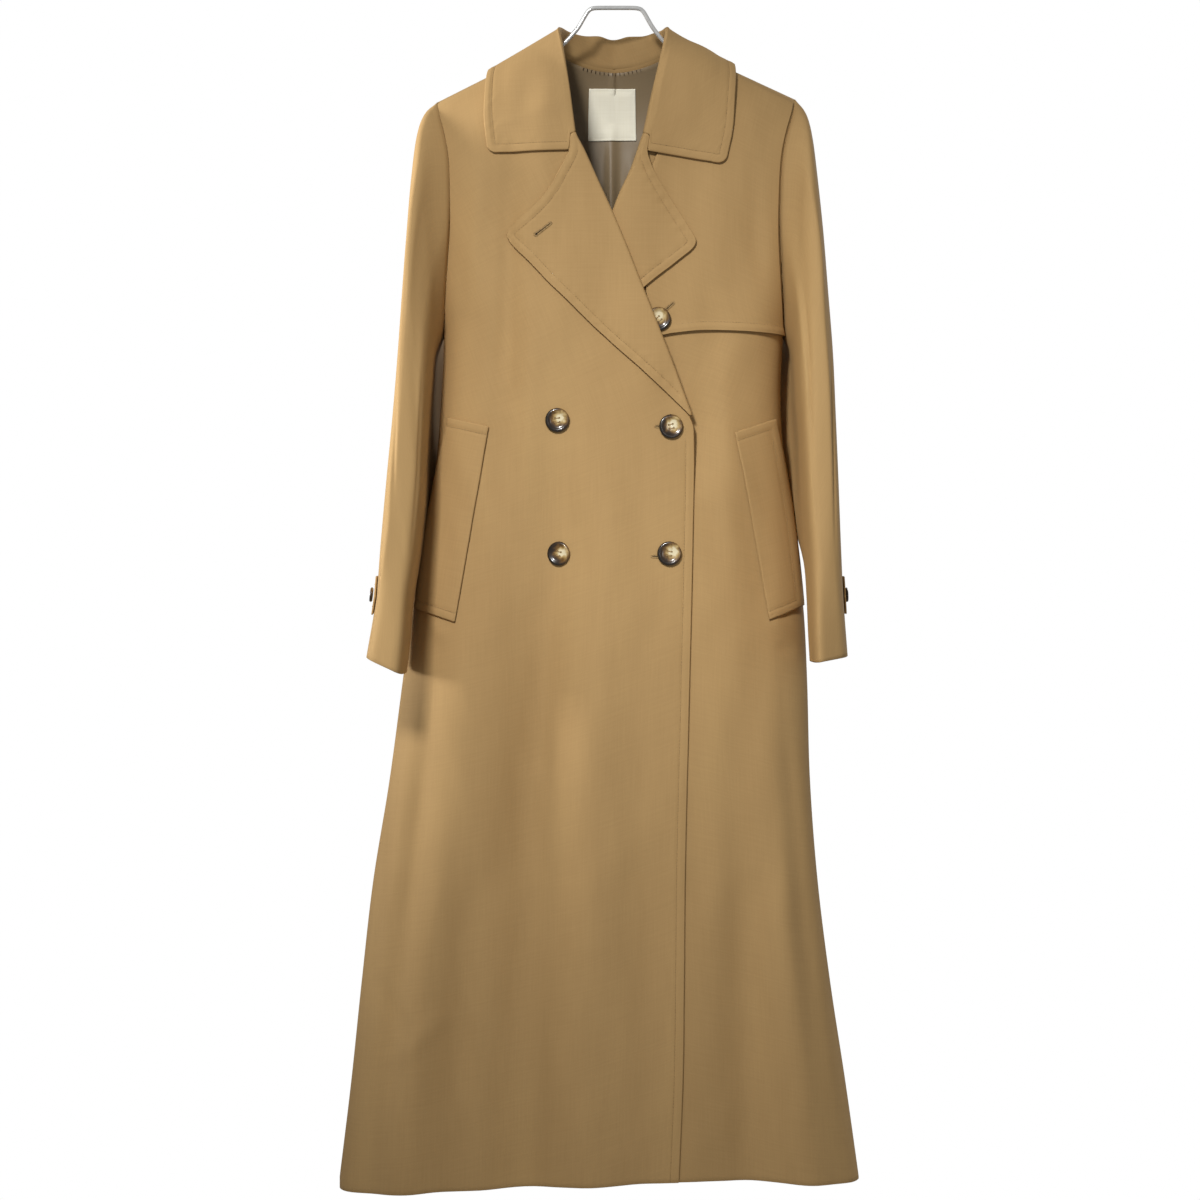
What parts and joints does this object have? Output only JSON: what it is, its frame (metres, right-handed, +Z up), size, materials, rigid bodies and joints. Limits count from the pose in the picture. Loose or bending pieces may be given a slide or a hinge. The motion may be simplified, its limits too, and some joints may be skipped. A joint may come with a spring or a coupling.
{
  "type": "trench coat",
  "caption": "Long double-breasted trench coat with wide notched lapels, one storm flap, slanted welt pockets and tabbed cuffs, hanging open-necked on a wire hanger.",
  "frame": {"origin": "middle of the hanger's top bar, on the wire's axis, in the plane of the shoulder seams", "axes": "+Z up, +Y from the coat's front to its back, +X to the wearer's left, which is the right as the coat is looked at"},
  "size_m": [0.544, 0.2354, 1.2379],
  "materials": {
    "coat_cloth": "smooth tan wool gabardine",
    "lining_cloth": "taupe satin lining",
    "label_cloth": "bare cream woven label",
    "horn": "polished brown horn",
    "hanger_wire": "white lacquered steel wire"
  },
  "bodies": {
    "root": {"back": "coat_cloth", "front_right": "coat_cloth", "front_left": "coat_cloth", "sleeve_right": "coat_cloth", "sleeve_left": "coat_cloth", "collar": "coat_cloth", "lapel_right": "coat_cloth", "lapel_left": "coat_cloth", "storm_flap": "coat_cloth", "pocket_welt_right": "coat_cloth", "pocket_welt_left": "coat_cloth", "cuff_tab_right": "coat_cloth", "cuff_tab_left": "coat_cloth", "back_lining": "lining_cloth", "neck_label": "label_cloth", "button_upper_right": "horn", "button_lower_right": "horn", "button_upper_left": "horn", "button_lower_left": "horn", "button_storm_flap": "horn", "button_cuff_right": "horn", "button_cuff_left": "horn", "hanger": "hanger_wire"}
  },
  "joints": []
}
